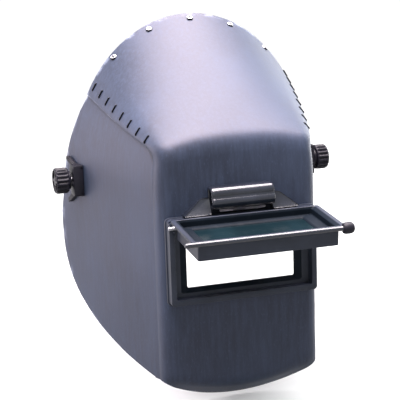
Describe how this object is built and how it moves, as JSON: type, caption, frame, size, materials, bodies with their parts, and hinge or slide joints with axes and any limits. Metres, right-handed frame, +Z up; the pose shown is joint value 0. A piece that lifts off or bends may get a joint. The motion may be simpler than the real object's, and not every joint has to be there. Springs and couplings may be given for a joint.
{
  "type": "welding helmet",
  "caption": "Lift-front welding helmet: folded fibre shell with a flip-up dark lens in a moulded frame, tilting on side tension knobs over a ratchet headband.",
  "frame": {"origin": "middle of the headband, where the head sits", "axes": "+X to the wearer's left-hand side seen from the front (image right), -Y is the way the helmet faces, +Z up"},
  "size_m": [0.2642, 0.332, 0.326],
  "materials": {
    "fibre_shell": "satin pressed fibre with an upright grain",
    "frame_plastic": "satin moulded plastic",
    "black_plastic": "satin moulded plastic",
    "plated_steel": "plated",
    "clear_glass": "clear",
    "shade_glass": "dark green glass",
    "gasket": "matt",
    "friction_fibre": "matt",
    "pad_foam": "woven cover over foam"
  },
  "bodies": {
    "headgear": {"headband": "black_plastic", "brow_pad": "pad_foam", "crown_strap_left": "black_plastic", "crown_strap_right": "black_plastic", "side_arm_left": "black_plastic", "side_arm_right": "black_plastic", "arm_rivets_left": "plated_steel", "arm_rivets_right": "plated_steel", "pivot_stud_left": "plated_steel", "pivot_stud_right": "plated_steel", "friction_washer_left": "friction_fibre", "friction_washer_right": "friction_fibre", "nape_cover_inner": "black_plastic", "nape_cover_outer": "black_plastic", "nape_screws": "plated_steel", "nape_pad": "pad_foam"},
    "helmet_shell": {"shell": "fibre_shell", "crown_band": "fibre_shell", "crown_rivets": "plated_steel", "seam_staples_left": "plated_steel", "seam_staples_right": "plated_steel", "lens_frame": "frame_plastic", "spring_housing": "frame_plastic", "detent_spring": "plated_steel", "hinge_pin": "plated_steel", "lens_retainer": "black_plastic", "retainer_screws": "plated_steel", "clear_lens": "clear_glass", "clear_lens_gasket": "gasket", "clear_lens_spring": "plated_steel", "stop_plate_left": "black_plastic", "stop_plate_right": "black_plastic", "pivot_wedge_left": "black_plastic", "pivot_wedge_right": "black_plastic"},
    "flip_lid": {"lid": "frame_plastic", "lid_cover_glass": "clear_glass", "filter_glass": "shade_glass", "lid_gasket": "gasket", "lid_spring": "plated_steel"},
    "knob_left": {"tension_knob_left": "black_plastic"},
    "knob_right": {"tension_knob_right": "black_plastic"},
    "band_rack_left": {"rack_left": "black_plastic"},
    "band_rack_right": {"rack_right": "black_plastic"},
    "ratchet": {"ratchet_pinion": "black_plastic", "ratchet_knob": "black_plastic"}
  },
  "joints": [
    {"name": "headgear_tilt", "type": "hinge", "parent": "headgear", "child": "helmet_shell", "pos_m": [0, -0.015, 0.006], "axis": [-1, 0, 0], "range_deg": [0, 75]},
    {"name": "lid_flip", "type": "hinge", "parent": "helmet_shell", "child": "flip_lid", "pos_m": [0, -0.149, -0.0159], "axis": [1, 0, 0], "range_deg": [-18, 84.5]},
    {"name": "tension_knob_left_turn", "type": "hinge", "parent": "headgear", "child": "knob_left", "pos_m": [-0.12, -0.015, 0.006], "axis": [1, 0, 0], "range_deg": [-180, 180]},
    {"name": "tension_knob_right_turn", "type": "hinge", "parent": "headgear", "child": "knob_right", "pos_m": [0.12, -0.015, 0.006], "axis": [1, 0, 0], "range_deg": [-180, 180]},
    {"name": "ratchet_turn", "type": "hinge", "parent": "headgear", "child": "ratchet", "pos_m": [0, 0.1, 0], "axis": [0, 1, 0], "range_deg": [-60, 60]},
    {"name": "band_slide_left", "type": "hinge", "parent": "headgear", "child": "band_rack_left", "pos_m": [0, 0.02, 0], "axis": [0, 0, 1], "range_deg": [-4.6, 4.6]},
    {"name": "band_slide_right", "type": "hinge", "parent": "headgear", "child": "band_rack_right", "pos_m": [0, 0.02, 0], "axis": [0, 0, 1], "range_deg": [-4.6, 4.6]}
  ],
  "couplings": [
    {"joint": "band_slide_left", "follows": "ratchet_turn", "ratio": -0.07538},
    {"joint": "band_slide_right", "follows": "ratchet_turn", "ratio": 0.07366}
  ]
}
